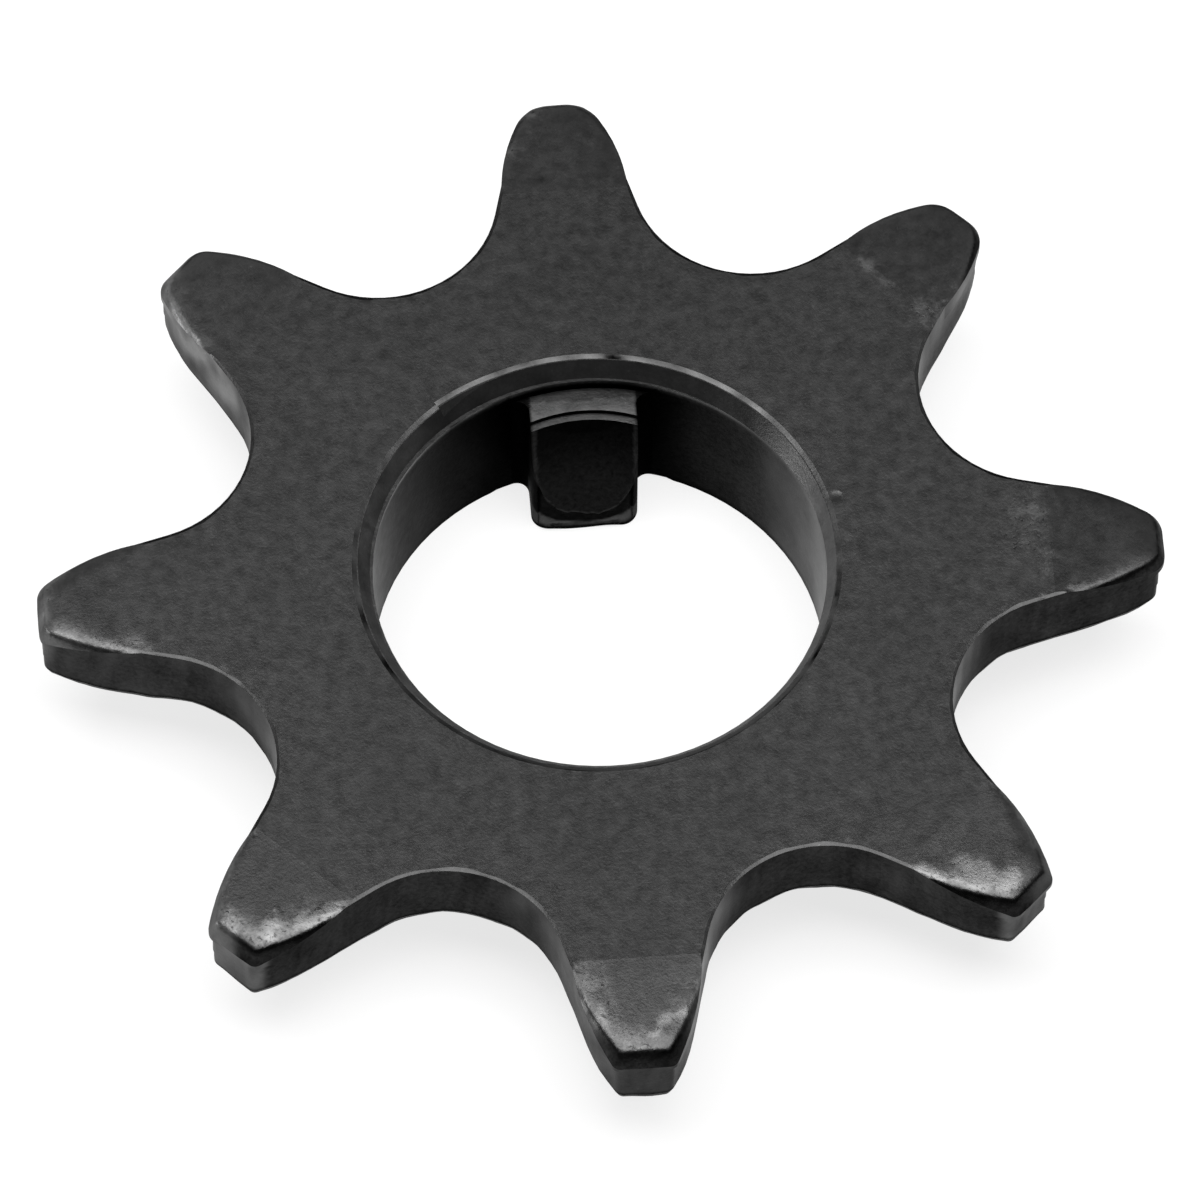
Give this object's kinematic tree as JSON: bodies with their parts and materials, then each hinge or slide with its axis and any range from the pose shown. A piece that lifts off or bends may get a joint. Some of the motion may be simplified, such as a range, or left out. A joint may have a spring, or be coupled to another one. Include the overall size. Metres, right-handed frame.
{
  "type": "chain sprocket",
  "caption": "Small chain sprocket of dark steel in a single piece: short blunt teeth with rolled-over tips, a collar beneath, and a countersunk bore with a driving tang.",
  "frame": {"origin": "axis of the tooth ring, at the collar's end face, which the part rests on", "axes": "+Z along the wheel's axis towards the toothed plate's flat face, +X through the middle of one tooth, +Y through the tooth over the driving tang"},
  "size_m": [0.0379, 0.0377, 0.0063],
  "materials": {
    "dark_steel": "hardened steel with a dark, fine-grained oxide skin, dull, rubbed brighter on edges and faces"
  },
  "bodies": {
    "root": {"sprocket": "dark_steel"}
  },
  "joints": []
}
